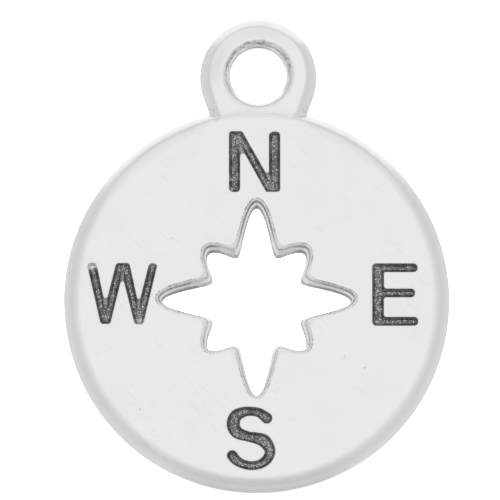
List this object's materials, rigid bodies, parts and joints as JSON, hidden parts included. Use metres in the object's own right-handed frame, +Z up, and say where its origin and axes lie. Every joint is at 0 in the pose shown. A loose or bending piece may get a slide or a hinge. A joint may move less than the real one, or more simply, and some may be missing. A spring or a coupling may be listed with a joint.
{
  "type": "compass rose charm",
  "caption": "Flat round metal charm with a hanging eye, a pierced compass rose and sunk compass letters.",
  "frame": {"origin": "middle of the charm's overall box, on the surface that its flat back rests on", "axes": "+Z up out of the face, +Y from the disc to the eye (towards N), +X towards E"},
  "size_m": [0.015, 0.0186, 0.0015],
  "materials": {
    "silver": "satin silver plate on a zinc casting, blackened in the sunk letters"
  },
  "bodies": {
    "root": {"charm": "silver"}
  },
  "joints": []
}
